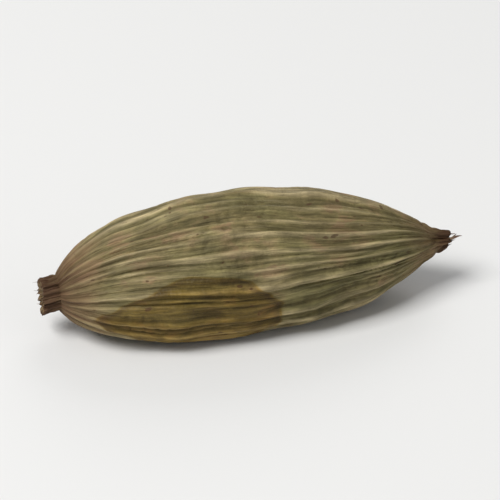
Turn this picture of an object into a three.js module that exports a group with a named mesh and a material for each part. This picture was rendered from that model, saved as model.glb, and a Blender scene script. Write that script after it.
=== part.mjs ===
// Green cardamom pod: one dried seed capsule, lying on one of its three faces.
// The long axis runs along X, from the stalk end at -X to the withered flower end at +X. +Z is up.
// The husk, the withered tip and the stalk stub grew as one piece, so the pod is one closed solid.
import * as THREE from "three";

// Driving dimensions, in millimetres
const POD_LENGTH = 20; // end of the withered tip to end of the stalk stub
const BELLY_RADIUS = 3.14; // mean radius at the fullest place
const TIP_LENGTH = 0.8; // withered remains of the flower
const TIP_RADIUS = 0.48; // where the tip leaves the capsule
const TIP_END_RADIUS = 0.28;
const STALK_LENGTH = 0.8; // stub left where the pod broke off its stem
const STALK_RADIUS = 0.74;
const STALK_RIM_RADIUS = 0.8;
const SOCKET_DEPTH = 0.4; // hollow in the broken end of the stub
const SOCKET_RADIUS = 0.5;
const SOCKET_LIP = 0.1; // how far the hollow's edge lies inside the rim
const REST_DEPTH = 0.3; // how far the resting face is worn flat

// Outline of the capsule, in shares of its own length and of the belly's radius
const BODY_LENGTH = POD_LENGTH - TIP_LENGTH - STALK_LENGTH;
const BELLY_SHARE = 0.58; // place of the belly, counted from the tip
const TIP_FULLNESS = 0.64; // 1 tapers to a point as a parabola does, less is blunter
const STALK_FULLNESS = 0.47;
const NECK_BLEND = 2; // higher makes a sharper corner where the capsule meets its ends
const ROW_CROWDING = 0.55; // how much closer the rows lie at the ends than at the belly

// Cross-section: three rounded angles, each with a seam along it, and a gentle bow of the axis
const ANGLES = 3;
const TOP_ANGLE = Math.PI / 2;
const LOBE_SHARE = 0.085; // how far the angles stand out, in shares of the radius
const ROUND_BELOW = 0.2; // share of the belly's radius where the ends are plain rounds
const LOBED_ABOVE = 0.85; // share where the angles and dents have their full size
const BOW = { side: 0.3, up: 0.45 };
const END_REACH = 0.14; // share of the length over which each end bends aside
const TIP_BEND = { side: 0.3, up: 0.15 }; // how far the tip's end leans
const STALK_BEND = { side: -0.25, up: -0.35 };

// Ribs: the veins that run from the stalk to the tip
const RIBS = 27;
const RIBS_PER_ANGLE = RIBS / ANGLES;
const RIB_HEIGHT = 0.16;
const RIB_GAIN = { least: 0.55, most: 1.25 }; // a plain rib's height against the usual one
const SEAM_GAIN = 1.7; // a seam's rib against the usual one
const CREST_SHARPNESS = 1.9; // higher makes narrower ribs and wider valleys
const RIBBED_ABOVE = 0.9; // share of the belly's radius where ribs have their full size
const RIB_SHIFT = 0.26; // most that a rib strays from even spacing, in shares of that spacing
const RIB_TWIST = 0.16; // turn of the ribs over the whole length, in radians
const RIB_CLEARANCE = 0.45; // height above the resting face where ribs have their full size
const RIB_SEED = 7;

// Waves over the husk: turns along the pod in radians, turns round it, and where they start
const STRAY_WAVES = [
  { size: 0.035, along: 8, round: 2, start: 0.7 },
  { size: 0.02, along: 17, round: -3, start: 2.1 },
];
const DENT_WAVES = [
  { size: 0.055, along: 9, round: 2, start: 0.4 },
  { size: 0.034, along: 15, round: -3, start: 1.9 },
  { size: 0.025, along: 6, round: 5, start: 4.2 },
];
const SEED_BULGE = 0.05; // over each seed of the three rows inside
const SEEDS_IN_ROW = 6;

// Facets
const COLUMNS_PER_RIB = 4;
const COLUMNS = RIBS * COLUMNS_PER_RIB;
const TIP_ROWS = 4;
const BODY_ROWS = 30;
const STALK_ROWS = 4;

const HUSK = new THREE.MeshStandardMaterial({ name: "husk", color: 0x8a8055, roughness: 0.7, metalness: 0 });

const smooth = THREE.MathUtils.smoothstep;
const between = THREE.MathUtils.lerp;

// Repeatable draws from 0 to 1 (mulberry32)
function seededDraw(seed) {
  let state = seed;
  return () => {
    state = (state + 0x6d2b79f5) | 0;
    let mixed = Math.imul(state ^ (state >>> 15), state | 1);
    mixed ^= mixed + Math.imul(mixed ^ (mixed >>> 7), mixed | 61);
    return ((mixed ^ (mixed >>> 14)) >>> 0) / 2 ** 32;
  };
}

// Sum of waves at a place on the husk
function sumOfWaves(waves, angle, along) {
  const swell = (wave) => wave.size * Math.sin(wave.along * along + wave.round * angle + wave.start);
  return waves.reduce((sum, wave) => sum + swell(wave), 0);
}

// 1 on each of the three angles, -1 midway between two of them
function lobeWave(angle) {
  return Math.cos(ANGLES * (angle - TOP_ANGLE));
}

// Radius of the capsule at a share of its own length, from the tip to the stalk
function bodyRadius(share) {
  const nearTip = share < BELLY_SHARE;
  const reach = (share - BELLY_SHARE) / (nearTip ? BELLY_SHARE : 1 - BELLY_SHARE);
  const capsule = BELLY_RADIUS * Math.max(0, 1 - reach * reach) ** (nearTip ? TIP_FULLNESS : STALK_FULLNESS);
  const neck = between(TIP_RADIUS, STALK_RADIUS, share);
  return (capsule ** NECK_BLEND + neck ** NECK_BLEND) ** (1 / NECK_BLEND);
}

// Outline from the middle of the tip's end to the middle of the stalk's socket, as (radius, place along X)
function outline() {
  const points = [new THREE.Vector2(0, 0)];
  for (let row = 0; row < TIP_ROWS; row++) {
    const share = row / TIP_ROWS;
    points.push(new THREE.Vector2(between(TIP_END_RADIUS, TIP_RADIUS, Math.sqrt(share)), TIP_LENGTH * share));
  }
  for (let row = 0; row <= BODY_ROWS; row++) {
    const turn = (2 * Math.PI * row) / BODY_ROWS;
    const share = (turn - ROW_CROWDING * Math.sin(turn)) / (2 * Math.PI);
    points.push(new THREE.Vector2(bodyRadius(share), TIP_LENGTH + BODY_LENGTH * share));
  }
  for (let row = 1; row <= STALK_ROWS; row++) {
    const share = row / STALK_ROWS;
    const radius = between(STALK_RADIUS, STALK_RIM_RADIUS, share * share);
    points.push(new THREE.Vector2(radius, POD_LENGTH - STALK_LENGTH * (1 - share)));
  }
  points.push(new THREE.Vector2(SOCKET_RADIUS, POD_LENGTH - SOCKET_LIP));
  points.push(new THREE.Vector2(0, POD_LENGTH - SOCKET_DEPTH));
  return points;
}

// Each rib's place round the pod and its height. The first rib of each angle is its seam and doesn't stray.
function drawRibs() {
  const draw = seededDraw(RIB_SEED);
  return Array.from({ length: RIBS }, (_, rib) => {
    const seam = rib % RIBS_PER_ANGLE === 0;
    const shift = RIB_SHIFT * (2 * draw() - 1);
    const gain = between(RIB_GAIN.least, RIB_GAIN.most, draw());
    return { place: rib + (seam ? 0 : shift), height: RIB_HEIGHT * (seam ? SEAM_GAIN : gain) };
  });
}

// Place round the pod and height of the relief at a column, between two neighbouring ribs
function ribAt(ribs, column) {
  const first = Math.floor(column / COLUMNS_PER_RIB) % RIBS;
  const share = (column % COLUMNS_PER_RIB) / COLUMNS_PER_RIB;
  const here = ribs[first];
  const next = ribs[(first + 1) % RIBS];
  const nextPlace = first + 1 === RIBS ? next.place + RIBS : next.place;
  const crest = (0.5 + 0.5 * Math.cos(2 * Math.PI * share)) ** CREST_SHARPNESS;
  return {
    angle: TOP_ANGLE + (2 * Math.PI * between(here.place, nextPlace, share)) / RIBS,
    relief: crest * (share < 0.5 ? here.height : next.height),
  };
}

// Dents where the husk dried and shrank, and bulges over the rows of seeds
function shallowRelief(angle, along) {
  const overSeeds = Math.sin(2 * Math.PI * SEEDS_IN_ROW * along + angle) * lobeWave(angle);
  return sumOfWaves(DENT_WAVES, angle, along) + SEED_BULGE * overSeeds;
}

// Middle of the cross-section: the whole axis bows, and the last stretch at each end leans aside
function axisAt(along) {
  const bowed = Math.sin(Math.PI * along);
  const nearTip = Math.max(0, 1 - along / END_REACH) ** 2;
  const nearStalk = Math.max(0, 1 - (1 - along) / END_REACH) ** 2;
  return {
    side: BOW.side * bowed + TIP_BEND.side * nearTip + STALK_BEND.side * nearStalk,
    up: BOW.up * bowed + TIP_BEND.up * nearTip + STALK_BEND.up * nearStalk,
  };
}

// The husk's geometry: a lathe of the outline, then every vertex moved out to the lobes, relief and ribs
function huskGeometry() {
  const profile = outline();
  const ribs = drawRibs();
  const geometry = new THREE.LatheGeometry(profile, COLUMNS);
  const position = geometry.getAttribute("position");
  const vertices = Array.from({ length: position.count }, (_, index) => {
    const { x: radius, y: place } = profile[index % profile.length];
    const { angle, relief } = ribAt(ribs, Math.floor(index / profile.length) % COLUMNS);
    const along = place / POD_LENGTH;
    const full = smooth(radius / BELLY_RADIUS, ROUND_BELOW, LOBED_ABOVE);
    const wander = RIB_TWIST * (along - 0.5) + sumOfWaves(STRAY_WAVES, angle, along);
    const lobes = 1 + LOBE_SHARE * full * lobeWave(angle);
    return {
      place,
      turned: angle + wander * full,
      radius: radius * lobes + shallowRelief(angle, along) * full,
      relief: relief * Math.sqrt(smooth(radius / BELLY_RADIUS, 0, RIBBED_ABOVE)),
      axis: axisAt(along),
    };
  });
  const heightOf = ({ radius, turned, axis }) => axis.up + radius * Math.sin(turned);
  const floor = Math.min(...vertices.map(heightOf)) + REST_DEPTH;
  vertices.forEach((vertex, index) => {
    const ribbed = vertex.relief * smooth(heightOf(vertex) - floor, 0, RIB_CLEARANCE);
    const raised = { ...vertex, radius: vertex.radius + ribbed };
    const side = vertex.axis.side + raised.radius * Math.cos(vertex.turned);
    position.setXYZ(index, -vertex.place, -side, Math.max(heightOf(raised), floor)); // the tip points to +X
  });
  geometry.deleteAttribute("uv");
  geometry.computeVertexNormals();
  return geometry;
}

// The origin is under the middle of the pod, on the surface that it rests on
function standOnOrigin(geometry) {
  geometry.computeBoundingBox();
  const { min, max } = geometry.boundingBox;
  geometry.translate(-(min.x + max.x) / 2, -(min.y + max.y) / 2, -min.z);
  return geometry;
}

const husk = new THREE.Mesh(standOnOrigin(huskGeometry()), HUSK);
husk.name = "cardamom_pod";

const cardamom = new THREE.Group();
cardamom.add(husk);

export default cardamom;
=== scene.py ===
"""Green cardamom pod: a ribbed dried husk with a frayed stalk end and a withered tip, on a pale floor."""

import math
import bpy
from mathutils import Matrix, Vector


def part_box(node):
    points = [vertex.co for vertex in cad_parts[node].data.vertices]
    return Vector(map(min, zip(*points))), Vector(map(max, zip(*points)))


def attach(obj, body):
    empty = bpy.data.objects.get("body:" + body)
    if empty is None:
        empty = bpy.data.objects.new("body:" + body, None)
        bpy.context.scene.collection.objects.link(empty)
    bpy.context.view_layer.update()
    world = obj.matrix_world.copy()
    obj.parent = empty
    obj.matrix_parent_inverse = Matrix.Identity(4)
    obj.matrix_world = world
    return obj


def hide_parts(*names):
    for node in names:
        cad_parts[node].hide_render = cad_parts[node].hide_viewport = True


bl_info = {
    "name": "Green cardamom pod",
    "version": (1, 0, 0),
    "blender": (4, 5, 0),
    "location": "3D View > Sidebar > Cardamom",
    "description": "Builds one dried green cardamom pod over its frame and lights it on a pale floor",
    "category": "Add Mesh",
}

from types import SimpleNamespace

import bpy
import numpy as np
from mathutils import Vector, noise

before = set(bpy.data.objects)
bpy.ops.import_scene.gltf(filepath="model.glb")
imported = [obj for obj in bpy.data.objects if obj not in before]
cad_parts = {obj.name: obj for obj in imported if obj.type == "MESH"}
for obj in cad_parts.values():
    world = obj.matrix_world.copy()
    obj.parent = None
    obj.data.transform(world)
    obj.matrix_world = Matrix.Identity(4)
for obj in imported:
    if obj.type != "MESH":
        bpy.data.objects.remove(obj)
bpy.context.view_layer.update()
POD_NODE = "cardamom_pod"
POD_LOW, POD_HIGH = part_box(POD_NODE)
POD_CENTRE = (POD_LOW + POD_HIGH) / 2

# Sizes are in millimetres, and places along the pod count from the tip's end, until a mesh is made of them
MM = 0.001
POD_LENGTH = (POD_HIGH.x - POD_LOW.x) / MM

# Outline of the pod, as in the solid
BELLY_RADIUS = 3.14
TIP_LENGTH = 0.8
TIP_RADIUS = 0.48
TIP_END_RADIUS = 0.28
STALK_LENGTH = 0.8
STALK_RADIUS = 0.74
STALK_RIM_RADIUS = 0.8
REST_DEPTH = 0.3
STALK_PLACE = POD_LENGTH - STALK_LENGTH
BODY_LENGTH = STALK_PLACE - TIP_LENGTH
BELLY_SHARE = 0.58
TIP_FULLNESS = 0.64
STALK_FULLNESS = 0.47
NECK_BLEND = 2

# Cross-section and axis, as in the solid
ANGLES = 3
TOP_ANGLE = math.pi / 2
LOBE_SHARE = 0.085
ROUND_BELOW, LOBED_ABOVE = 0.2, 0.85
BOW_SIDE, BOW_UP = 0.3, 0.45
END_REACH = 0.14
TIP_BEND_SIDE, TIP_BEND_UP = 0.3, 0.15
STALK_BEND_SIDE, STALK_BEND_UP = -0.25, -0.35

# Ribs, as in the solid
RIBS = 27
RIBS_PER_ANGLE = RIBS // ANGLES
SEAM_GAIN = 1.7
RIB_SHIFT = 0.26
RIB_TWIST = 0.16
RIB_GAINS = (0.55, 1.25)
RIBBED_ABOVE = 0.9
RIB_CLEARANCE = 0.45
CREST_SHARPNESS = 1.9
RIB_SEED = 7

# Waves over the husk, as in the solid: size, turns along the pod, turns round it and start
STRAY_WAVES = ((0.035, 8, 2, 0.7), (0.02, 17, -3, 2.1))
DENT_WAVES = ((0.055, 9, 2, 0.4), (0.034, 15, -3, 1.9), (0.025, 6, 5, 4.2))
SEED_BULGE = 0.05
SEEDS_IN_ROW = 6

# Hollows in both ends: depths, and profiles in shares of the end's radius and of the hollow's depth
TIP_HOLLOW = 0.36
TIP_PROFILE = ((0.3, 0.95), (0.62, 0.7), (0.85, 0.25))
SOCKET_DEPTH = 0.5
SOCKET_PROFILE = (
    (0.97, -0.03), (0.92, -0.03), (0.86, 0.02), (0.79, 0.09), (0.72, 0.13), (0.65, 0.16),
    (0.58, 0.2), (0.51, 0.25), (0.45, 0.36), (0.4, 0.58), (0.34, 0.85), (0.2, 0.95),
)

# Rows and columns of the husk's mesh
COLUMNS_PER_RIB = 12
COLUMNS = RIBS * COLUMNS_PER_RIB
TIP_ROWS = 16
BODY_ROWS = 246
STALK_ROWS = 20
ROW_CROWDING = 0.35  # how much closer the rows lie at the ends than at the belly
TIP_RIM_ROW = len(TIP_PROFILE)
STALK_RIM_ROW = TIP_RIM_ROW + TIP_ROWS + BODY_ROWS + STALK_ROWS
PITH_ROW = STALK_RIM_ROW + 3
PITH_ROWS = 6
RIM_STEP = 6  # rows from a rim to the row that shows how the husk runs there

# Fine relief of the dried husk
RIB_UNEVENNESS = 0.4
SECOND_RIB = 0.1
LINES_PER_RIB = 3
SEAM_WIDTH = 0.11  # in shares of the ribs' spacing
SEAM_GROOVE = 0.09
REST_GROOVE = 0.06
HOLLOW_DEPTH = 0.07  # depth below its surroundings where a valley has its full painted shade

# Long folds and small dings: how many, and the ranges that each is drawn from
FOLDS = 7
FOLD_SEED = 23
FOLD_START = (2.5, 11)
FOLD_LENGTH = (3, 7.5)
FOLD_WIDTH = (0.3, 0.55)  # in shares of the ribs' spacing
FOLD_GAIN = (0.5, 1)
FOLD_FADE = 1.6
DINGS = 34
DING_SEED = 41
DING_PLACE = (2.5, 17.5)
DING_SIZE = (0.18, 0.5)
DING_GAIN = (0.25, 1)

# Pleats of the tip and flutes of the stalk: places where they start and are full
TIP_PLEATED = (1.7, 0.7)
STALK_FLUTED = (STALK_PLACE - 0.5, STALK_PLACE + 0.3)
COLLAR_PLACE = STALK_PLACE + 0.1
COLLAR_WIDTH = 0.2
TIP_TEAR_REACH = 1
RIM_TEAR_REACH = 0.6

# Colours towards the ends: places where they start and are full, and for the painted shade inside the end
# hollows, shares of their depth
TIP_TAN = (3.4, 0.8)
STALK_TAN = (POD_LENGTH - 3.4, POD_LENGTH - 0.9)
TIP_BROWN = (1.4, 0.2)
STALK_BROWN = (POD_LENGTH - 2.5, POD_LENGTH - 0.1)
HOLLOW_SHADE = (0.27, 0.55)

# Stain low on the front, a lens: its middle along and round the pod, half its length, half its width in
# radians, its slant in radians per millimetre, and the share of its width that it loses towards the stalk
STAIN_PLACE = 13.6
STAIN_TURN = math.radians(253)
STAIN_REACH = 4.5
STAIN_SPREAD = 0.7
STAIN_SLANT = 0.005
STAIN_TAPER = 0.5

# Noise over the husk: scale round the pod, scale along it, and a shift that keeps each one apart
UNEVEN_NOISE = (1.1, 0.24, 3.7)
STREAK_NOISE = (5.2, 0.5, 11.3)
LINE_STRAY_NOISE = (0.8, 0.2, 7.9)
LINE_PATCH_NOISE = (0.7, 0.22, 19.1)
SECOND_RIB_NOISE = (0.8, 0.12, 23.3)
CREASE_NOISE = (1.1, 1.9, 43.7)
CREASE_PATCH_NOISE = (0.4, 0.3, 53.9)
CREASE_STRAY_NOISE = (0.9, 0.5, 97.1)
CRUMPLE_NOISE = (1.4, 2.4, 61.3)
FURROW_NOISE = (2.1, 0.35, 107.3)
TIP_TEAR_NOISE = (0.75, 0.1, 83.3)
RIM_TEAR_NOISE = (1.3, 0.1, 89.9)
RIM_FRAY_NOISE = (3.7, 0.1, 113.9)
PITH_NOISE = (5.5, 1, 127.1)
CRUMB_NOISE = (12, 1, 131.7)
STAIN_EDGE_NOISE = (2.2, 0.35, 5.1)
STAIN_CORE_NOISE = (1.5, 0.5, 137.9)
FAINT_STAIN_NOISE = (0.55, 0.3, 31.7)

# Torn fibres and pith stubs of the stalk: how many, the rows and sides of each, and the ranges of its draws
STALK_FIBRES = 11
PITH_STUBS = 40
FIBRE_SEED = 59
FIBRE_GRID = (8, 6)
FIBRE_STRAY = (-0.4, 0.4)  # from even spacing, in shares of that spacing
FIBRE_ROOT = (0.12, 0.2)
FIBRE_INSET = (0.03, 0.06)
FIBRE_LEAN = (-0.2, 0.25)
FIBRE_BEND_OUT = (-0.4, 0.3)
FIBRE_BEND_ASIDE = (-0.6, 0.6)
FIBRE_REACH = (0.5, 1)  # in shares of the longest
FIBRE_WIDTH = (0.012, 0.024)
STUB_ROOT = 0.09
STUB_BEND = (-0.3, 0.3)
STUB_REACH = (0.13, 0.22)
STUB_WIDTH = (0.014, 0.03)
BLUNT_EVERY = 3  # every third stub broke off blunt

# Papery shreds of the tip, in the same way
TIP_SHREDS = 9
SHRED_SEED = 83
SHRED_GRID = (9, 10)
SHRED_STRAY = (-0.3, 0.3)
SHRED_ROOT = (0.16, 0.26)
SHRED_INSET = 0.1
SHRED_LEAN = (-0.15, 0.2)
SHRED_BEND_OUT = (-0.35, 0.35)
SHRED_BEND_ASIDE = (-0.4, 0.4)
SHRED_REACH = (0.35, 0.9)
SHRED_WIDTH = (0.05, 0.11)

# Sway of every strand in shares of its length, and ripple in shares of its width
STRAND_SWAY = 0.12
STRAND_RIPPLE = 0.22

# Stage, in metres: each light's size and its place from the middle of the pod, and the camera's nearest and
# farthest sight
FLOOR_REACH = 3.0
KEY_LIGHT = (0.26, (-0.26, -0.08, 0.38))
FILL_LIGHT = (0.45, (0.38, -0.30, 0.22))
RIM_LIGHT = (0.26, (0.14, 0.36, 0.26))
CAMERA_RANGE = (0.001, 20.0)
ROOM_COLOUR = (0.95, 0.97, 1.0, 1.0)
ROOM_STRENGTH = 0.28


def length_property(name, description, millimetres):
    """A length that a user may change."""
    return bpy.props.FloatProperty(
        name=name, description=description, default=millimetres * MM, unit="LENGTH"
    )


def colour_property(name, description, default):
    """A colour that a user may change."""
    return bpy.props.FloatVectorProperty(
        name=name, description=description, default=default, subtype="COLOR", size=3, min=0, max=1
    )


def power_property(name, description, default):
    """A light's power that a user may change."""
    return bpy.props.FloatProperty(name=name, description=description, default=default, unit="POWER")


def angle_property(name, description, degrees):
    """An angle that a user may change."""
    return bpy.props.FloatProperty(
        name=name, description=description, default=math.radians(degrees), subtype="ANGLE"
    )


class PodShape(bpy.types.PropertyGroup):
    """Relief of the husk and of its frayed ends."""

    rib_height: length_property("Rib height", "Height of a plain rib over the husk", 0.16)
    dents: bpy.props.FloatProperty(
        name="Dents",
        description="Depth of the broad dents, as a share of the solid's",
        default=1,
        subtype="FACTOR",
    )
    stria_height: length_property("Striae", "Height of the fine lines between the ribs", 0.07)
    wrinkle_depth: length_property("Wrinkles", "Depth of the short creases across the ribs", 0.055)
    fold_depth: length_property("Folds", "Depth of the long folds between ribs", 0.15)
    ding_depth: length_property("Dings", "Depth of the deepest small ding", 0.09)
    fibre_length: length_property("Stalk fibres", "Length of the longest torn fibre", 0.4)
    shred_length: length_property("Tip shreds", "Length that the withered shreds are shares of", 0.85)


class HuskColours(bpy.types.PropertyGroup):
    """Colours of the dried husk and its ends."""

    olive: colour_property("Olive", "Most of the husk", (0.230, 0.182, 0.078))
    green: colour_property("Green", "Patches that kept their green", (0.160, 0.146, 0.054))
    # Painted shade: hollows between the ribs and inside both ends are darkened towards this colour
    valley: colour_property("Valley", "Between the ribs", (0.112, 0.090, 0.035))
    straw: colour_property("Straw", "Crests of the ribs", (0.402, 0.322, 0.176))
    rose: colour_property("Rose", "Patches dried to a pinkish brown", (0.232, 0.142, 0.076))
    tan: colour_property("Tan", "Towards both ends", (0.237, 0.150, 0.076))
    # Also the painted shade deep inside the hollows of both ends
    bark: colour_property("Bark", "Withered ends and specks", (0.066, 0.026, 0.012))
    amber: colour_property("Amber", "Tint of the stains over the husk", (0.66, 0.52, 0.19))
    umber: colour_property("Umber", "Tint of the stains' rims over the husk", (0.34, 0.24, 0.10))


class StageLook(bpy.types.PropertyGroup):
    """Floor, lights and camera."""

    floor: colour_property("Floor", "Colour of the floor", (0.745, 0.74, 0.725))
    key_power: power_property("Key", "Power of the main light", 2.25)
    fill_power: power_property("Fill", "Power of the light on the shaded side", 0.28)
    rim_power: power_property("Rim", "Power of the light from behind", 0.5)
    azimuth: angle_property("Azimuth", "Turn of the camera round the pod", -15)
    elevation: angle_property("Elevation", "Height of the camera over the floor", 30)
    lens: bpy.props.FloatProperty(
        name="Lens", description="Focal length", default=160, subtype="DISTANCE_CAMERA"
    )
    width: length_property("Width in view", "Width that the picture takes in", 23.6)


def smooth(value, low, high):
    """Rise smoothly from 0 at low to 1 at high, also where high is the lesser number."""
    share = np.clip((value - low) / (high - low), 0, 1)
    return share * share * (3 - 2 * share)


def seeded_draw(seed):
    """Repeatable draws from 0 to 1, the same as the solid's (mulberry32)."""
    whole = 0xFFFFFFFF
    state = seed

    def draw(low=0.0, high=1.0):
        nonlocal state
        state = (state + 0x6D2B79F5) & whole
        bits = ((state ^ (state >> 15)) * (state | 1)) & whole
        bits ^= (bits + (((bits ^ (bits >> 7)) * (bits | 61)) & whole)) & whole
        return low + (high - low) * ((bits ^ (bits >> 14)) & whole) / (whole + 1)

    return draw


def noise_over(points, around, along, shift):
    """Smooth noise from about -1 to 1 at each point, with one scale round the pod and one along it."""
    moved = (points * np.array([around, around, along]) + shift).reshape(-1, 3).tolist()
    return np.array([noise.noise(point) for point in moved]).reshape(points.shape[:-1])


def blurred(field, columns, rows):
    """Mean of a field of rows by columns over its neighbours. The columns go round the pod."""
    total = sum(np.roll(field, step, axis=1) for step in range(-columns, columns + 1)) / (2 * columns + 1)
    padded = np.pad(total, ((rows, rows), (0, 0)), mode="edge")
    count = 2 * rows + 1
    return sum(padded[step : step + len(field)] for step in range(count)) / count


def body_radius(share):
    """Radius of the capsule at a share of its own length."""
    near_tip = share < BELLY_SHARE
    reach = (share - BELLY_SHARE) / np.where(near_tip, BELLY_SHARE, 1 - BELLY_SHARE)
    fullness = np.where(near_tip, TIP_FULLNESS, STALK_FULLNESS)
    capsule = BELLY_RADIUS * np.maximum(0, 1 - reach * reach) ** fullness
    neck = TIP_RADIUS + (STALK_RADIUS - TIP_RADIUS) * share
    return (capsule**NECK_BLEND + neck**NECK_BLEND) ** (1 / NECK_BLEND)


def outline():
    """Radius, place and depth inside an end of each row, from the tip's hollow to the stalk's socket."""
    hollow, socket = np.array(TIP_PROFILE), np.array(SOCKET_PROFILE)
    tip = np.arange(TIP_ROWS) / TIP_ROWS
    turn = 2 * np.pi * np.arange(BODY_ROWS + 1) / BODY_ROWS
    body = (turn - ROW_CROWDING * np.sin(turn)) / (2 * np.pi)
    stalk = np.arange(1, STALK_ROWS + 1) / STALK_ROWS
    radius = np.concatenate([
        TIP_END_RADIUS * hollow[:, 0],
        TIP_END_RADIUS + (TIP_RADIUS - TIP_END_RADIUS) * np.sqrt(tip),
        body_radius(body),
        STALK_RADIUS + (STALK_RIM_RADIUS - STALK_RADIUS) * stalk**2,
        STALK_RIM_RADIUS * socket[:, 0],
    ])
    place = np.concatenate([
        TIP_HOLLOW * hollow[:, 1],
        TIP_LENGTH * tip,
        TIP_LENGTH + BODY_LENGTH * body,
        POD_LENGTH - STALK_LENGTH * (1 - stalk),
        POD_LENGTH - SOCKET_DEPTH * socket[:, 1],
    ])
    inside = np.zeros(len(radius))
    inside[: len(hollow)] = hollow[:, 1]
    inside[-len(socket) :] = np.maximum(0, socket[:, 1])
    return radius[:, None], place[:, None], inside[:, None]


def husk_grid():
    """Every point of the husk before its relief, in rows along the pod by columns round it."""
    radius, place, inside = outline()
    column = np.arange(COLUMNS)[None, :] / COLUMNS_PER_RIB
    turn = 2 * np.pi * column / RIBS
    row = np.arange(len(radius))[:, None]
    in_tip, in_stalk = row < TIP_RIM_ROW, row > STALK_RIM_ROW

    # Inside an end, the form of its rim goes on
    skin = np.where(in_tip, 0, np.where(in_stalk, POD_LENGTH, place))
    around = BELLY_RADIUS * np.cos(turn), BELLY_RADIUS * np.sin(turn)
    return SimpleNamespace(
        radius=radius,
        place=place,
        inside=inside,
        column=column,
        turn=turn,
        in_tip=in_tip,
        in_stalk=in_stalk,
        skin=skin,
        along=skin / POD_LENGTH,
        full=smooth(radius / BELLY_RADIUS, ROUND_BELOW, LOBED_ABOVE),
        at_tip=smooth(skin, *TIP_PLEATED),
        at_stalk=smooth(skin, *STALK_FLUTED),
        grain=np.stack(np.broadcast_arrays(*around, place + 0 * turn), axis=-1),
        skin_grain=np.stack(np.broadcast_arrays(*around, skin + 0 * turn), axis=-1),
    )


def draw_ribs(rib_height):
    """Place round the pod and height of each rib. The first rib of each angle is its seam."""
    draw = seeded_draw(RIB_SEED)
    places, heights = [], []
    for rib in range(RIBS):
        seam = rib % RIBS_PER_ANGLE == 0
        shift = RIB_SHIFT * (2 * draw() - 1)
        gain = draw(*RIB_GAINS)
        places.append(rib if seam else rib + shift)
        heights.append(rib_height * (SEAM_GAIN if seam else gain))
    return np.array(places + [RIBS]), np.array(heights + heights[:1])


def rib_pattern(grid, rib_height):
    """Ribs with their own place and height, as in the solid, and the finer ribs between them."""
    places, heights = draw_ribs(rib_height)
    first = np.floor(grid.column).astype(int)
    between = grid.column - first
    nearest = np.where(between < 0.5, first, first + 1)
    wave = 0.5 + 0.5 * np.cos(2 * np.pi * between)
    crest = wave**CREST_SHARPNESS
    line = np.exp(-((np.minimum(between, 1 - between) / SEAM_WIDTH) ** 2))
    patchy = smooth(noise_over(grid.grain, *SECOND_RIB_NOISE), -0.3, 0.25)
    return SimpleNamespace(
        angle=TOP_ANGLE + 2 * np.pi * (places[first] + (places[first + 1] - places[first]) * between) / RIBS,
        crest=crest,
        relief=crest * heights[nearest] * np.sqrt(smooth(grid.radius / BELLY_RADIUS, 0, RIBBED_ABOVE)),
        bright=np.clip(heights[nearest] / rib_height, 0.6, 1.2),
        seam=(nearest % RIBS_PER_ANGLE == 0) * line,
        second=SECOND_RIB * (1 - wave) ** 4 * patchy,
    )


def dry_noise(grid):
    """Unevenness that both the relief and the colours follow."""
    return SimpleNamespace(
        uneven=noise_over(grid.grain, *UNEVEN_NOISE),
        streaks=noise_over(grid.grain, *STREAK_NOISE),
        furrows=noise_over(grid.skin_grain, *FURROW_NOISE),
        crumple=noise_over(grid.skin_grain, *CRUMPLE_NOISE),
    )


def axis_at(along):
    """Sideways and upward place of the middle of the cross-section."""
    bow = np.sin(np.pi * along)
    near_tip = np.maximum(0, 1 - along / END_REACH) ** 2
    near_stalk = np.maximum(0, 1 - (1 - along) / END_REACH) ** 2
    side = BOW_SIDE * bow + TIP_BEND_SIDE * near_tip + STALK_BEND_SIDE * near_stalk
    up = BOW_UP * bow + TIP_BEND_UP * near_tip + STALK_BEND_UP * near_stalk
    return side, up


def sum_of_waves(waves, angle, along):
    """Sum of waves at a place on the husk."""
    return sum(size * np.sin(turns * along + rounds * angle + start) for size, turns, rounds, start in waves)


def lobe_wave(angle):
    """1 on each of the three angles, -1 midway between two of them."""
    return np.cos(ANGLES * (angle - TOP_ANGLE))


def shallow_relief(angle, along, dents):
    """Broad dents, as a share of the solid's, and the bulges over the rows of seeds."""
    over_seeds = np.sin(2 * np.pi * SEEDS_IN_ROW * along + angle) * lobe_wave(angle)
    return dents * sum_of_waves(DENT_WAVES, angle, along) + SEED_BULGE * over_seeds


def long_folds(grid, fold_depth):
    """Creases that run along a valley for part of the pod, where the husk sank between two ribs."""
    draw = seeded_draw(FOLD_SEED)
    depth = 0.0
    for _ in range(FOLDS):
        middle = math.floor(draw(0, RIBS)) + 0.5
        start = draw(*FOLD_START)
        end = start + draw(*FOLD_LENGTH)
        width = draw(*FOLD_WIDTH)
        gap = (grid.column - middle + RIBS / 2) % RIBS - RIBS / 2
        begun = smooth(grid.place, start, start + FOLD_FADE)
        ended = smooth(grid.place, end - FOLD_FADE, end)
        depth = depth + draw(*FOLD_GAIN) * np.exp(-((gap / width) ** 2)) * begun * (1 - ended)
    return fold_depth * depth


def small_dings(grid, ding_depth):
    """Small round dents at random places."""
    draw = seeded_draw(DING_SEED)
    depth = 0.0
    for _ in range(DINGS):
        middle = draw(0, 2 * np.pi)
        place = draw(*DING_PLACE)
        size = draw(*DING_SIZE)
        gap = grid.radius * ((grid.turn - middle + np.pi) % (2 * np.pi) - np.pi)
        depth = depth + draw(*DING_GAIN) * np.exp(-(gap**2 + (grid.place - place) ** 2) / size**2)
    return ding_depth * depth


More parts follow.
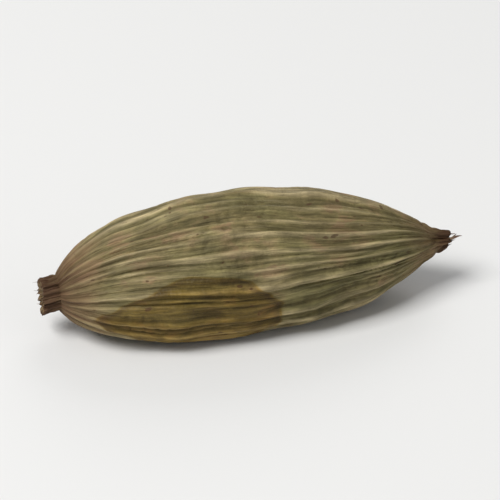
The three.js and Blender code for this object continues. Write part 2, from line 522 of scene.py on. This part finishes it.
def fine_relief(shape, grid, ribs, dry):
    """Finer ribs, striae, short creases, folds, dings and seam grooves of the dried husk."""
    grain = grid.grain
    lines = np.cos(2 * np.pi * LINES_PER_RIB * grid.column + 2.4 * noise_over(grain, *LINE_STRAY_NOISE))
    lined = smooth(noise_over(grain, *LINE_PATCH_NOISE), -0.35, 0.3)
    striae = 0.4 * lines * lined * (1 - 0.6 * ribs.crest) + 1.5 * dry.streaks
    stray = np.stack([dry.uneven, -dry.uneven, noise_over(grain, *CREASE_STRAY_NOISE)], axis=-1)
    creases = np.clip(1 - 3.6 * np.abs(noise_over(grain + 0.9 * stray, *CREASE_NOISE)), 0, 1)
    creased = smooth(noise_over(grain, *CREASE_PATCH_NOISE), -0.2, 0.35)
    wrinkles = creases * creased * (1 - 0.55 * ribs.crest)
    return (
        ribs.second
        + shape.stria_height / MM * striae
        - shape.wrinkle_depth / MM * wrinkles
        - long_folds(grid, shape.fold_depth / MM)
        - small_dings(grid, shape.ding_depth / MM)
        - SEAM_GROOVE * ribs.seam**3
    )


def end_relief(grid, dry):
    """Pleats of the pinched tip, and flutes of the stalk with a collar where it leaves the capsule."""
    turn, skin = grid.turn, grid.skin
    pleats = 0.2 * np.cos(2 * turn - 1.3 * skin - 0.8) + 0.12 * np.cos(5 * turn + 2.2 * skin)
    pleats = pleats + 0.16 * dry.crumple + 0.22 * dry.furrows
    flutes = 0.03 * np.cos(13 * turn + 1.1 * np.sin(2 * turn)) + 0.2 * dry.furrows + 0.1 * dry.crumple
    collar = (0.05 + 0.09 * dry.furrows) * np.exp(-(((skin - COLLAR_PLACE) / COLLAR_WIDTH) ** 2))
    return grid.radius * (grid.at_tip * pleats + grid.at_stalk * (flutes + collar))


def torn_tip(grid):
    """How far the tip is torn back. Inside it, the tear evens out to its mean."""
    tear = np.maximum(0.22 + 0.5 * noise_over(grid.grain[TIP_RIM_ROW], *TIP_TEAR_NOISE), 0)
    ragged = np.where(grid.in_tip, smooth(grid.radius / TIP_END_RADIUS, 0.15, 0.95), 1)
    return smooth(grid.skin, TIP_TEAR_REACH, 0) * (tear.mean() + (tear - tear.mean()) * ragged)


def torn_rim(grid):
    """How far the stalk's rim is torn back. Inside it, the tear evens out to its mean."""
    rim = grid.grain[STALK_RIM_ROW]
    tear = 0.05 + 0.17 * noise_over(rim, *RIM_TEAR_NOISE) + 0.1 * noise_over(rim, *RIM_FRAY_NOISE)
    tear = np.maximum(tear, 0)
    ragged = np.where(grid.in_stalk, smooth(grid.radius / STALK_RIM_RADIUS, 0.2, 0.9), 1)
    reach = smooth(grid.skin, POD_LENGTH - RIM_TEAR_REACH, POD_LENGTH)
    return reach * (tear.mean() + (tear - tear.mean()) * ragged)


def rough_pith(grid):
    """Where pith shows between the stalk's skin and its hollow, and how far its lumps stand out."""
    share = grid.radius / STALK_RIM_RADIUS
    pith = grid.in_stalk * smooth(share, 0.4, 0.5) * (1 - smooth(share, 0.84, 0.94))
    across = grid.radius * np.cos(grid.turn), grid.radius * np.sin(grid.turn)
    points = np.stack(np.broadcast_arrays(*across, grid.place), axis=-1)
    return pith, pith * (0.11 * noise_over(points, *PITH_NOISE) + 0.07 * noise_over(points, *CRUMB_NOISE))


def stain_depth(grid):
    """Depth of the stain and of a few faint ones: 1 inside, up to 2 at a dark rim or core, 0 outside."""
    ragged = noise_over(grid.grain, *STAIN_EDGE_NOISE)
    away = grid.place - STAIN_PLACE
    along = away / STAIN_REACH
    spread = STAIN_SPREAD * (1 - STAIN_TAPER * np.clip(along, 0, 1))
    lens = along**2 + ((grid.turn - STAIN_TURN + STAIN_SLANT * away) / spread) ** 2 + 0.15 * ragged
    soaked = smooth(lens, 1.02, 0.88)
    rim = smooth(lens, 0.66, 0.9) * smooth(lens, 1.04, 0.9)
    core = 0.45 * smooth(noise_over(grid.grain, *STAIN_CORE_NOISE), 0.0, 0.5)
    faint = smooth(noise_over(grid.grain, *FAINT_STAIN_NOISE) + 0.25 * ragged, 0.36, 0.62)
    return np.maximum(soaked * (1 + np.maximum(rim, core)), 0.55 * faint)


def husk_masks(grid, ribs, dry, relief, pith, lumps):
    """Ridges, hollows with their painted shade, and tan ends of the husk, as a vector for each point."""
    ridge = ribs.crest * ribs.bright * (0.78 + 0.55 * dry.uneven)
    ridge = ridge + 0.5 * ribs.second / SECOND_RIB + 0.5 * dry.streaks * (1 - ribs.crest)
    ridge = np.clip(ridge, 0, 1) * np.sqrt(grid.full)
    # Painted shade: points sunk below their blurred surroundings, and the insides of both ends, are darkened
    # as hollows
    hollow = np.clip((blurred(blurred(relief, 5, 4), 4, 3) - relief) / HOLLOW_DEPTH, 0, 1)
    strayed = grid.place + 0.8 * dry.uneven
    return np.stack([
        np.maximum(ridge, pith * (0.55 + 4 * lumps)),
        np.maximum(hollow * (1 - pith), 0.9 * grid.inside),
        np.maximum(smooth(strayed, *TIP_TAN), smooth(strayed, *STALK_TAN)),
    ], axis=-1)


def husk_marks(grid, ribs, dry, pith):
    """Stains, dark ends with painted shade deep in their hollows, and seams of the husk, as a vector for
    each point.
    """
    withered = smooth(grid.place + 0.4 * dry.crumple, *TIP_BROWN)

    # The stalk's brown runs further up the valleys than up the ribs
    valleys = 0.6 * (0.4 - ribs.crest) * (1 - grid.at_stalk)
    browning = grid.place + 0.5 * dry.crumple + 0.7 * dry.streaks + valleys
    stub = smooth(browning, *STALK_BROWN) * (1 - 0.85 * pith)
    return np.stack([
        stain_depth(grid),
        # Brown withered ends, and painted shade that darkens deeper inside the end hollows
        np.maximum(0.85 * np.maximum(withered, stub), smooth(grid.inside, *HOLLOW_SHADE)),
        ribs.seam * np.sqrt(grid.full),
    ], axis=-1)


def husk_field(shape):
    """Points of the husk and vectors for its finish, in rows along the pod by columns round it."""
    grid = husk_grid()
    ribs = rib_pattern(grid, shape.rib_height / MM)
    dry = dry_noise(grid)
    pith, lumps = rough_pith(grid)

    # Outline, lobes and dents, as in the solid
    wander = RIB_TWIST * (grid.along - 0.5) + sum_of_waves(STRAY_WAVES, ribs.angle, grid.along)
    turned = ribs.angle + wander * grid.full
    lobes = 1 + LOBE_SHARE * grid.full * lobe_wave(ribs.angle)
    base = grid.radius * lobes + shallow_relief(ribs.angle, grid.along, shape.dents) * grid.full
    side, up = axis_at(grid.along)
    height = up + base * np.sin(turned)
    floor = height.min() + REST_DEPTH
    clear = smooth(height - floor, 0, RIB_CLEARANCE)

    # Ribs and fine relief, clear of the resting face
    ribbed = ribs.relief * clear * (1 + RIB_UNEVENNESS * dry.uneven)
    fine = fine_relief(shape, grid, ribs, dry) * np.sqrt(grid.full) * clear
    ends = end_relief(grid, dry)
    reach = base + ribbed + fine + ends
    points = np.stack([
        grid.place + torn_tip(grid) - torn_rim(grid) + lumps,
        side + reach * np.cos(turned),
        np.maximum(up + reach * np.sin(turned) - floor, REST_GROOVE * (1 - ribs.crest) * grid.full),
    ], axis=-1)

    # Centred as the solid is, by its sides without the fine relief
    sides = side + (base + ribs.relief * clear) * np.cos(turned)
    points[..., 1] -= (sides.min() + sides.max()) / 2
    return points, {
        "grain": grid.grain,
        "husk_masks": husk_masks(grid, ribs, dry, ribbed + fine + ends, pith, lumps),
        "husk_marks": husk_marks(grid, ribs, dry, pith),
    }


def mesh_piece(name, points, faces, attributes):
    """Make a smooth mesh object from points in millimetres and vectors for each point."""
    mesh = bpy.data.meshes.new(name)
    mesh.from_pydata((np.asarray(points) * MM).tolist(), [], faces)
    if mesh.validate():
        raise RuntimeError(f"{name} has faces that don't form a mesh")
    for label, values in attributes.items():
        layer = mesh.attributes.new(label, "FLOAT_VECTOR", "POINT")
        layer.data.foreach_set("vector", np.asarray(values, dtype=np.float32).ravel())
    mesh.shade_smooth()
    piece = bpy.data.objects.new(name, mesh)
    bpy.context.scene.collection.objects.link(piece)
    return piece


def tube_faces(rows, columns, start=0):
    """Faces of a closed skin of rows by columns, with a pole before the first row and one after the last."""
    ring = np.arange(columns)
    after = (ring + 1) % columns
    first, last = start + rows * columns, start + rows * columns + 1
    faces = []
    for row in range(rows - 1):
        low, high = start + row * columns, start + (row + 1) * columns
        faces += np.stack([low + ring, high + ring, high + after, low + after], axis=1).tolist()
    end = start + (rows - 1) * columns
    faces += [[first, start + here, start + there] for here, there in zip(ring.tolist(), after.tolist())]
    faces += [[last, end + there, end + here] for here, there in zip(ring.tolist(), after.tolist())]
    return faces


def with_poles(field):
    """Rows by columns of vectors in one list, then the poles: the means of the first row and of the last."""
    return np.concatenate([field.reshape(-1, 3), [field[0].mean(axis=0), field[-1].mean(axis=0)]])


def in_frame(points):
    """Turn points that count from the tip's end round to the frame, where the tip points to +X."""
    return points * np.array([-1, -1, 1]) + np.array([POD_HIGH.x / MM, 0, POD_LOW.z / MM])


def dress(piece, finish):
    """Give a piece its finish and its body."""
    piece.data.materials.append(finish)
    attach(piece, "root")
    return piece


def add_node(tree, kind, **settings):
    """Add a shader node and set its own properties."""
    made = tree.nodes.new(kind)
    for key, value in settings.items():
        setattr(made, key, value)
    return made


def join(tree, value, socket):
    """Set a socket to a plain value, or link another socket to it."""
    if isinstance(value, bpy.types.NodeSocket):
        tree.links.new(value, socket)
    else:
        socket.default_value = value


def math_node(tree, operation, first, second, clamp=False):
    """Output of a Math node."""
    made = add_node(tree, "ShaderNodeMath", operation=operation, use_clamp=clamp)
    join(tree, first, made.inputs[0])
    join(tree, second, made.inputs[1])
    return made.outputs[0]


def product(tree, first, second):
    """Two values multiplied."""
    return math_node(tree, "MULTIPLY", first, second)


def ranged(tree, value, low, high, new_low=0.0, new_high=1.0):
    """A value that goes smoothly from one range to another."""
    made = add_node(tree, "ShaderNodeMapRange", interpolation_type="SMOOTHSTEP")
    for socket, setting in zip(made.inputs, (value, low, high, new_low, new_high)):
        join(tree, setting, socket)
    return made.outputs["Result"]


def eased(tree, mask, low, high):
    """A value that goes smoothly from low to high as a mask goes from 0 to 1."""
    return ranged(tree, mask, 0.0, 1.0, low, high)


def mixed(tree, factor, first, second, blend="MIX"):
    """Colour between two colours."""
    made = add_node(tree, "ShaderNodeMix", data_type="RGBA", blend_type=blend)
    sockets = [socket for socket in made.inputs if socket.enabled]
    for socket, setting in zip(sockets, (factor, first, second)):
        colour = not isinstance(setting, bpy.types.NodeSocket) and socket.type == "RGBA"
        join(tree, (*setting, 1.0) if colour else setting, socket)
    return next(socket for socket in made.outputs if socket.enabled)


def shaded(tree, colour, factor):
    """A colour made lighter or darker by a factor."""
    made = add_node(tree, "ShaderNodeVectorMath", operation="SCALE")
    join(tree, colour, made.inputs[0])
    join(tree, factor, made.inputs["Scale"])
    return made.outputs[0]


def bumped(tree, height, strength, distance):
    """Normal from a height."""
    made = add_node(tree, "ShaderNodeBump")
    made.inputs["Strength"].default_value = strength
    made.inputs["Distance"].default_value = distance
    tree.links.new(height, made.inputs["Height"])
    return made.outputs["Normal"]


def attribute_parts(tree, name):
    """The three values of a vector attribute."""
    source = add_node(tree, "ShaderNodeAttribute", attribute_type="GEOMETRY", attribute_name=name)
    parts = add_node(tree, "ShaderNodeSeparateXYZ")
    tree.links.new(source.outputs["Vector"], parts.inputs[0])
    return parts.outputs


def new_group(name, inputs, outputs):
    """A shader node group with float sockets, and its input and output nodes."""
    group = bpy.data.node_groups.new(name, "ShaderNodeTree")
    for label, default in inputs:
        socket = group.interface.new_socket(label, in_out="INPUT", socket_type="NodeSocketFloat")
        socket.default_value = default
    for label in outputs:
        group.interface.new_socket(label, in_out="OUTPUT", socket_type="NodeSocketFloat")
    return group, add_node(group, "NodeGroupInput"), add_node(group, "NodeGroupOutput")


def grain_noise(group, around, along, detail, roughness=0.55):
    """Noise on the grain, with one scale round the piece and one along it."""
    source = add_node(group, "ShaderNodeAttribute", attribute_type="GEOMETRY", attribute_name="grain")
    scale = add_node(group, "ShaderNodeCombineXYZ")
    for socket, value in zip(scale.inputs, (around, around, along)):
        join(group, value, socket)
    scaled = add_node(group, "ShaderNodeVectorMath", operation="MULTIPLY")
    group.links.new(source.outputs["Vector"], scaled.inputs[0])
    group.links.new(scale.outputs[0], scaled.inputs[1])
    texture = add_node(group, "ShaderNodeTexNoise", noise_dimensions="3D")
    group.links.new(scaled.outputs[0], texture.inputs["Vector"])
    texture.inputs["Scale"].default_value = 1.0
    texture.inputs["Detail"].default_value = detail
    texture.inputs["Roughness"].default_value = roughness
    return texture.outputs["Fac"]


def fibre_group():
    """Fine fibres along the grain: streaks and finer hair for colour, and a height for bump."""
    name = "Dry fibre"
    if name in bpy.data.node_groups:
        return bpy.data.node_groups[name]
    inputs = [("Fineness", 6.0), ("Stretch", 12.0)]
    group, given, result = new_group(name, inputs, ["Streaks", "Hair", "Height"])
    fine = given.outputs["Fineness"]
    stretched = math_node(group, "DIVIDE", fine, given.outputs["Stretch"])
    streaks = grain_noise(group, fine, stretched, 3.0)
    hair = grain_noise(group, product(group, fine, 2.6), product(group, stretched, 3.0), 3.0)
    crumb = grain_noise(group, product(group, fine, 1.7), product(group, fine, 1.5), 2.0)
    height = math_node(group, "ADD", product(group, hair, 0.6), product(group, crumb, 0.4))
    join(group, ranged(group, streaks, 0.3, 0.7), result.inputs["Streaks"])
    join(group, ranged(group, hair, 0.35, 0.65), result.inputs["Hair"])
    join(group, math_node(group, "ADD", height, streaks), result.inputs["Height"])
    return group


def mottle_group():
    """Uneven colour of something dried: broad patches, small blotches and dark specks."""
    name = "Dry mottle"
    if name in bpy.data.node_groups:
        return bpy.data.node_groups[name]
    inputs = [("Patch scale", 0.45), ("Speck scale", 4.5), ("Speck limit", 0.68)]
    group, given, result = new_group(name, inputs, ["Patches", "Blotches", "Specks"])
    patch, speck, limit = (given.outputs[label] for label, _ in inputs)
    patches = grain_noise(group, patch, product(group, patch, 0.6), 3.0)
    blotches = grain_noise(group, product(group, patch, 3.5), product(group, patch, 2.2), 4.0)
    specks = grain_noise(group, speck, product(group, speck, 0.55), 1.0)
    join(group, ranged(group, patches, 0.38, 0.62), result.inputs["Patches"])
    join(group, ranged(group, blotches, 0.35, 0.65), result.inputs["Blotches"])
    join(group, ranged(group, specks, limit, math_node(group, "ADD", limit, 0.05)), result.inputs["Specks"])
    return group


def placed(tree, group, **values):
    """Outputs of a group placed in a material with its own values."""
    made = add_node(tree, "ShaderNodeGroup", node_tree=group)
    for key, value in values.items():
        made.inputs[key.replace("_", " ").capitalize()].default_value = value
    return made.outputs


def new_finish(name):
    """A material, its node tree and its shader."""
    finish = bpy.data.materials.new(name)
    finish.use_nodes = True
    shader = next(part for part in finish.node_tree.nodes if part.type == "BSDF_PRINCIPLED")
    return finish, finish.node_tree, shader


def husk_finish(colours):
    """Dried husk: olive and green between straw ribs, painted shade in the hollows, tan towards brown ends,
    stained and specked.
    """
    finish, tree, shader = new_finish("Cardamom husk")
    ridge, hollow, ends = attribute_parts(tree, "husk_masks")
    stain, dark, seam = attribute_parts(tree, "husk_marks")
    place = attribute_parts(tree, "grain")[2]
    streaks, hair, height = placed(tree, fibre_group(), fineness=5.0, stretch=14.0)
    mottle = placed(tree, mottle_group(), patch_scale=0.42, speck_scale=3.6, speck_limit=0.705)
    patches, blotches, specks = mottle

    # Olive, greener in patches and away from the stalk, with pinkish blotches where it isn't green
    greening = ranged(tree, place, 3.0, 16.0, 0.06, -0.25)
    greened = math_node(tree, "ADD", product(tree, patches, 0.75), greening, clamp=True)
    colour = mixed(tree, greened, colours.olive, colours.green)
    reddened = product(tree, ranged(tree, blotches, 0.55, 1.0), ranged(tree, greened, 0.5, 0.0))
    colour = mixed(tree, product(tree, reddened, 0.75), colour, colours.rose)

    # Straw ribs and seams, over valleys darkened with painted shade
    crest = product(tree, ranged(tree, ridge, 0.15, 0.9), eased(tree, streaks, 0.35, 0.85))
    colour = mixed(tree, crest, colour, colours.straw)
    # Painted shade in the hollows between ribs and inside the ends
    colour = mixed(tree, product(tree, hollow, 0.8), colour, colours.valley)
    colour = mixed(tree, product(tree, seam, 0.5), colour, colours.straw)

    # Lighter and darker fibres
    shade = product(tree, eased(tree, streaks, 0.78, 1.14), eased(tree, blotches, 0.84, 1.12))
    colour = shaded(tree, colour, product(tree, shade, eased(tree, hair, 0.82, 1.16)))

    # Tan towards the ends, then stains that the ribs show through, specks, and the brown ends with painted
    # shade deep in their hollows
    colour = mixed(tree, product(tree, ends, eased(tree, blotches, 0.45, 0.95)), colour, colours.tan)
    soaked = math_node(tree, "MINIMUM", stain, 1.0)
    rimmed = math_node(tree, "SUBTRACT", stain, soaked)
    tint = mixed(tree, product(tree, rimmed, 0.95), colours.amber, colours.umber)
    soaked = product(tree, soaked, eased(tree, streaks, 0.97, 0.8))
    colour = mixed(tree, soaked, colour, tint, "MULTIPLY")
    colour = mixed(tree, product(tree, specks, 0.65), colour, colours.bark)
    # Painted shade deep in the end hollows, with the brown of the withered ends
    colour = mixed(tree, dark, colour, colours.bark)
    tree.links.new(colour, shader.inputs["Base Color"])

    # Ribs and stains are a little smoother
    rough = math_node(tree, "SUBTRACT", eased(tree, streaks, 0.74, 0.6), product(tree, ridge, 0.12))
    rough = math_node(tree, "SUBTRACT", rough, product(tree, soaked, 0.12))
    tree.links.new(rough, shader.inputs["Roughness"])
    tree.links.new(bumped(tree, height, 1.0, 0.09 * MM), shader.inputs["Normal"])
    shader.inputs["Specular IOR Level"].default_value = 0.25
    return finish


def stalk_finish(colours):
    """Torn fibres of the stalk: tan and bark brown in streaks, with straw blotches."""
    finish, tree, shader = new_finish("Torn stalk fibre")
    streaks, _, height = placed(tree, fibre_group(), fineness=26.0, stretch=8.0)
    mottle = placed(tree, mottle_group(), patch_scale=2.4, speck_scale=12.0, speck_limit=0.7)
    colour = mixed(tree, eased(tree, streaks, 0.25, 0.95), colours.tan, colours.bark)
    colour = mixed(tree, product(tree, mottle["Blotches"], 0.28), colour, colours.straw)
    tree.links.new(colour, shader.inputs["Base Color"])
    tree.links.new(eased(tree, streaks, 0.65, 0.85), shader.inputs["Roughness"])
    tree.links.new(bumped(tree, height, 0.5, 0.015 * MM), shader.inputs["Normal"])
    return finish


def tip_finish(colours):
    """Withered shreds of the tip: papery brown, darker in blotches and specks, with straw streaks."""
    finish, tree, shader = new_finish("Withered tip")
    streaks, _, height = placed(tree, fibre_group(), fineness=22.0, stretch=9.0)
    mottle = placed(tree, mottle_group(), patch_scale=1.9, speck_scale=11.0, speck_limit=0.66)
    patches, blotches, specks = mottle
    colour = mixed(tree, eased(tree, blotches, 0.4, 1.0), colours.tan, colours.bark)
    colour = mixed(tree, product(tree, streaks, 0.2), colour, colours.straw)
    colour = mixed(tree, product(tree, specks, 0.6), colour, colours.bark)
    tree.links.new(colour, shader.inputs["Base Color"])
    tree.links.new(eased(tree, patches, 0.6, 0.8), shader.inputs["Roughness"])
    tree.links.new(bumped(tree, height, 0.6, 0.02 * MM), shader.inputs["Normal"])
    return finish


def floor_finish(colour):
    """Matt pale floor with a faint unevenness."""
    finish, tree, shader = new_finish("Pale floor")
    texture = add_node(tree, "ShaderNodeTexNoise", noise_dimensions="3D")
    texture.inputs["Scale"].default_value = 30.0
    shade = ranged(tree, texture.outputs["Fac"], 0.3, 0.7, 0.985, 1.0)
    tree.links.new(shaded(tree, colour, shade), shader.inputs["Base Color"])
    shader.inputs["Roughness"].default_value = 0.85
    shader.inputs["Specular IOR Level"].default_value = 0.15
    return finish


def bent_strand(draw, start, heading, bend, size, grid, section):
    """Points of a swaying strand, its rows by columns and then its two poles, and the grain of each."""
    (length, width), (rows, columns) = size, grid
    heading = heading.normalized()
    across = heading.cross(bend).normalized()
    sway, ripple, apart = draw(0, 2 * math.pi), draw(0, 2 * math.pi), draw(0, 50)
    points, grain, middles = [], [], []
    for row in range(rows):
        share = row / (rows - 1)
        middle = start + heading * (length * share) + bend * (length * share * share)
        middle += across * (STRAND_SWAY * length * share * math.sin(4 * share + sway))
        middles.append(middle)
        ahead = (heading + bend * (2 * share)).normalized()
        over = across.cross(ahead).normalized()
        broad = width * (1 + STRAND_RIPPLE * math.sin(8 * share + ripple))
        for column in range(columns):
            turn = 2 * math.pi * column / columns
            out, off = section(share, turn)
            points.append(middle + across * (broad * out) + over * (broad * off))
            grain.append((apart + math.cos(turn) * width, math.sin(turn) * width, length * share))
    points += [middles[0], middles[-1]]
    grain += [(apart, 0, 0), (apart, 0, length)]
    return [tuple(point) for point in points], grain


def tapered(share, turn):
    """Section of a fibre, a flattened round that thins out."""
    left = 1 - 0.75 * share
    return left * math.cos(turn), 0.7 * left * math.sin(turn)


def blunt(share, turn):
    """Section of a broken bundle, a round with a blunt end."""
    left = math.sqrt(1 - 0.9 * share**5)
    return left * math.cos(turn), 0.8 * left * math.sin(turn)


def papery(share, turn):
    """Section of a shred, a thin cupped blade that narrows to its end."""
    left = 1 - 0.85 * share**1.5
    return left * math.cos(turn), 0.16 * math.sin(turn) + 0.5 * left * math.cos(turn) ** 2


def husk_row(row):
    """Points of one row of the husk, in millimetres."""
    vertices = bpy.data.objects["husk"].data.vertices
    return [vertices[row * COLUMNS + column].co / MM for column in range(COLUMNS)]


def rim_place(rim, below, share):
    """A point at a share of the way round a rim, and the directions out of it and along the husk there."""
    column = int(share * COLUMNS) % COLUMNS
    middle = sum(rim, Vector()) / COLUMNS
    edge = rim[column]
    return edge, (edge - middle).normalized(), (edge - below[column]).normalized()


def strands_piece(name, strands, grid, finish):
    """One object of many strands with the same rows and columns."""
    points, faces, grain = [], [], []
    for strand, strand_grain in strands:
        faces += tube_faces(*grid, len(points))
        points += strand
        grain += strand_grain
    return dress(mesh_piece(name, points, faces, {"grain": grain}), finish)


class CARDAMOM_OT_husk(bpy.types.Operator):
    """Build the ribbed husk with its tip and stalk in place of the plain solid"""

    bl_idname = "cardamom.husk"
    bl_label = "Husk"

    def execute(self, context):
        points, attributes = husk_field(context.scene.cardamom_shape)
        vectors = {label: with_poles(values) for label, values in attributes.items()}
        husk = mesh_piece("husk", in_frame(with_poles(points)), tube_faces(*points.shape[:2]), vectors)
        dress(husk, husk_finish(context.scene.cardamom_colours))
        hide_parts(POD_NODE)
        return {"FINISHED"}


class CARDAMOM_OT_stalk_fibres(bpy.types.Operator):
    """Build the fibres that stand from the torn rim of the stalk, and the stubs of its pith"""

    bl_idname = "cardamom.stalk_fibres"
    bl_label = "Stalk fibres"

    def execute(self, context):
        draw = seeded_draw(FIBRE_SEED)
        rim, below = husk_row(STALK_RIM_ROW), husk_row(STALK_RIM_ROW - RIM_STEP)
        length = context.scene.cardamom_shape.fibre_length / MM
        strands = [self.fibre(draw, fibre, rim, below, length) for fibre in range(STALK_FIBRES)]
        axis = (sum(rim, Vector()) - sum(below, Vector())).normalized()
        pith = [husk_row(PITH_ROW + row) for row in range(PITH_ROWS)]
        strands += [self.stub(draw, stub, pith, below, axis) for stub in range(PITH_STUBS)]
        strands_piece("stalk_fibres", strands, FIBRE_GRID, stalk_finish(context.scene.cardamom_colours))
        return {"FINISHED"}

    def fibre(self, draw, number, rim, below, length):
        """A fibre that leans and bends from its own place on the rim."""
        edge, out, along = rim_place(rim, below, (number + draw(*FIBRE_STRAY)) / STALK_FIBRES)
        start = edge - along * draw(*FIBRE_ROOT) - out * draw(*FIBRE_INSET)
        heading = along + out * draw(*FIBRE_LEAN)
        bend = out * draw(*FIBRE_BEND_OUT) + out.cross(along) * draw(*FIBRE_BEND_ASIDE)
        size = length * draw(*FIBRE_REACH), draw(*FIBRE_WIDTH)
        return bent_strand(draw, start, heading, bend, size, FIBRE_GRID, tapered)

    def stub(self, draw, number, pith, below, axis):
        """A short stub anywhere on the pith."""
        edge, out, _ = rim_place(pith[int(draw(0, PITH_ROWS))], below, draw())
        bend = out * draw(*STUB_BEND) + out.cross(axis) * draw(*STUB_BEND)
        size = draw(*STUB_REACH), draw(*STUB_WIDTH)
        section = tapered if number % BLUNT_EVERY else blunt
        return bent_strand(draw, edge - axis * STUB_ROOT, axis, bend, size, FIBRE_GRID, section)


class CARDAMOM_OT_tip_shreds(bpy.types.Operator):
    """Build the papery shreds at the withered tip"""

    bl_idname = "cardamom.tip_shreds"
    bl_label = "Tip shreds"

    def execute(self, context):
        draw = seeded_draw(SHRED_SEED)
        rim, below = husk_row(TIP_RIM_ROW), husk_row(TIP_RIM_ROW + RIM_STEP)
        length = context.scene.cardamom_shape.shred_length / MM
        strands = [self.shred(draw, shred, rim, below, length) for shred in range(TIP_SHREDS)]
        strands_piece("tip_shreds", strands, SHRED_GRID, tip_finish(context.scene.cardamom_colours))
        return {"FINISHED"}

    def shred(self, draw, number, rim, below, length):
        """A shred that leans and bends from its own place on the rim."""
        edge, out, along = rim_place(rim, below, (number + draw(*SHRED_STRAY)) / TIP_SHREDS)
        start = edge - along * draw(*SHRED_ROOT) - out * SHRED_INSET
        heading = along + out * draw(*SHRED_LEAN)
        bend = out * draw(*SHRED_BEND_OUT) + out.cross(along) * draw(*SHRED_BEND_ASIDE)
        size = length * draw(*SHRED_REACH), draw(*SHRED_WIDTH)
        return bent_strand(draw, start, heading, bend, size, SHRED_GRID, papery)


class CARDAMOM_OT_stage(bpy.types.Operator):
    """Lay the floor, hang the lights and set the camera"""

    bl_idname = "cardamom.stage"
    bl_label = "Stage"

    def execute(self, context):
        look = context.scene.cardamom_stage
        self.lay_floor(context.scene, look)
        self.light_scene(context.scene, look)
        self.set_camera(context.scene, look)
        return {"FINISHED"}

    def lay_floor(self, scene, look):
        """A large flat floor under the pod."""
        signs = [(-1, -1), (1, -1), (1, 1), (-1, 1)]
        corners = [(FLOOR_REACH * x, FLOOR_REACH * y, POD_LOW.z) for x, y in signs]
        mesh = bpy.data.meshes.new("floor")
        mesh.from_pydata(corners, [], [(0, 1, 2, 3)])
        mesh.materials.append(floor_finish(look.floor))
        floor = bpy.data.objects.new("floor", mesh)
        scene.collection.objects.link(floor)

    def light_scene(self, scene, look):
        """Three soft lights round the pod and a pale surrounding."""
        lights = [
            ("key_light", look.key_power, *KEY_LIGHT),
            ("fill_light", look.fill_power, *FILL_LIGHT),
            ("rim_light", look.rim_power, *RIM_LIGHT),
        ]
        for name, power, size, place in lights:
            light = bpy.data.lights.new(name, "AREA")
            light.energy, light.size = power, size
            lamp = bpy.data.objects.new(name, light)
            lamp.location = POD_CENTRE + Vector(place)
            lamp.rotation_euler = (-Vector(place)).to_track_quat("-Z", "Y").to_euler()
            lamp.visible_camera = False
            scene.collection.objects.link(lamp)
        world = bpy.data.worlds.new("pale_room")
        world.use_nodes = True
        background = next(part for part in world.node_tree.nodes if part.type == "BACKGROUND")
        background.inputs["Color"].default_value = ROOM_COLOUR
        background.inputs["Strength"].default_value = ROOM_STRENGTH
        scene.world = world
        scene.view_settings.view_transform = "Standard"

    def set_camera(self, scene, look):
        """Camera at the height and turn that show the pod as pictured."""
        back = Vector((
            math.sin(look.azimuth) * math.cos(look.elevation),
            -math.cos(look.azimuth) * math.cos(look.elevation),
            math.sin(look.elevation),
        ))
        data = bpy.data.cameras.new("camera")
        data.lens = look.lens
        data.clip_start, data.clip_end = CAMERA_RANGE
        camera = bpy.data.objects.new("camera", data)
        camera.location = POD_CENTRE + back * (look.width * look.lens / data.sensor_width)
        camera.rotation_euler = (-back).to_track_quat("-Z", "Y").to_euler()
        scene.collection.objects.link(camera)
        scene.camera = camera


class CARDAMOM_PT_panel(bpy.types.Panel):
    """Sizes, colours and steps of the cardamom pod"""

    bl_idname = "CARDAMOM_PT_panel"
    bl_label = "Cardamom pod"
    bl_space_type = "VIEW_3D"
    bl_region_type = "UI"
    bl_category = "Cardamom"

    def draw(self, context):
        scene = context.scene
        for values in (scene.cardamom_shape, scene.cardamom_colours, scene.cardamom_stage):
            box = self.layout.box()
            for key in values.__annotations__:
                box.prop(values, key)
        for step in STEPS:
            self.layout.operator(step.bl_idname)


STEPS = (CARDAMOM_OT_husk, CARDAMOM_OT_stalk_fibres, CARDAMOM_OT_tip_shreds, CARDAMOM_OT_stage)
CLASSES = (PodShape, HuskColours, StageLook, *STEPS, CARDAMOM_PT_panel)


def register():
    """Add the classes and the scene's settings."""
    for made in CLASSES:
        bpy.utils.register_class(made)
    bpy.types.Scene.cardamom_shape = bpy.props.PointerProperty(type=PodShape)
    bpy.types.Scene.cardamom_colours = bpy.props.PointerProperty(type=HuskColours)
    bpy.types.Scene.cardamom_stage = bpy.props.PointerProperty(type=StageLook)


def unregister():
    """Take the settings and the classes away."""
    del bpy.types.Scene.cardamom_stage
    del bpy.types.Scene.cardamom_colours
    del bpy.types.Scene.cardamom_shape
    for made in reversed(CLASSES):
        bpy.utils.unregister_class(made)


def main():
    """Build every piece in order."""
    register()
    bpy.ops.cardamom.husk()
    bpy.ops.cardamom.stalk_fibres()
    bpy.ops.cardamom.tip_shreds()
    bpy.ops.cardamom.stage()


if __name__ == "__main__":
    main()
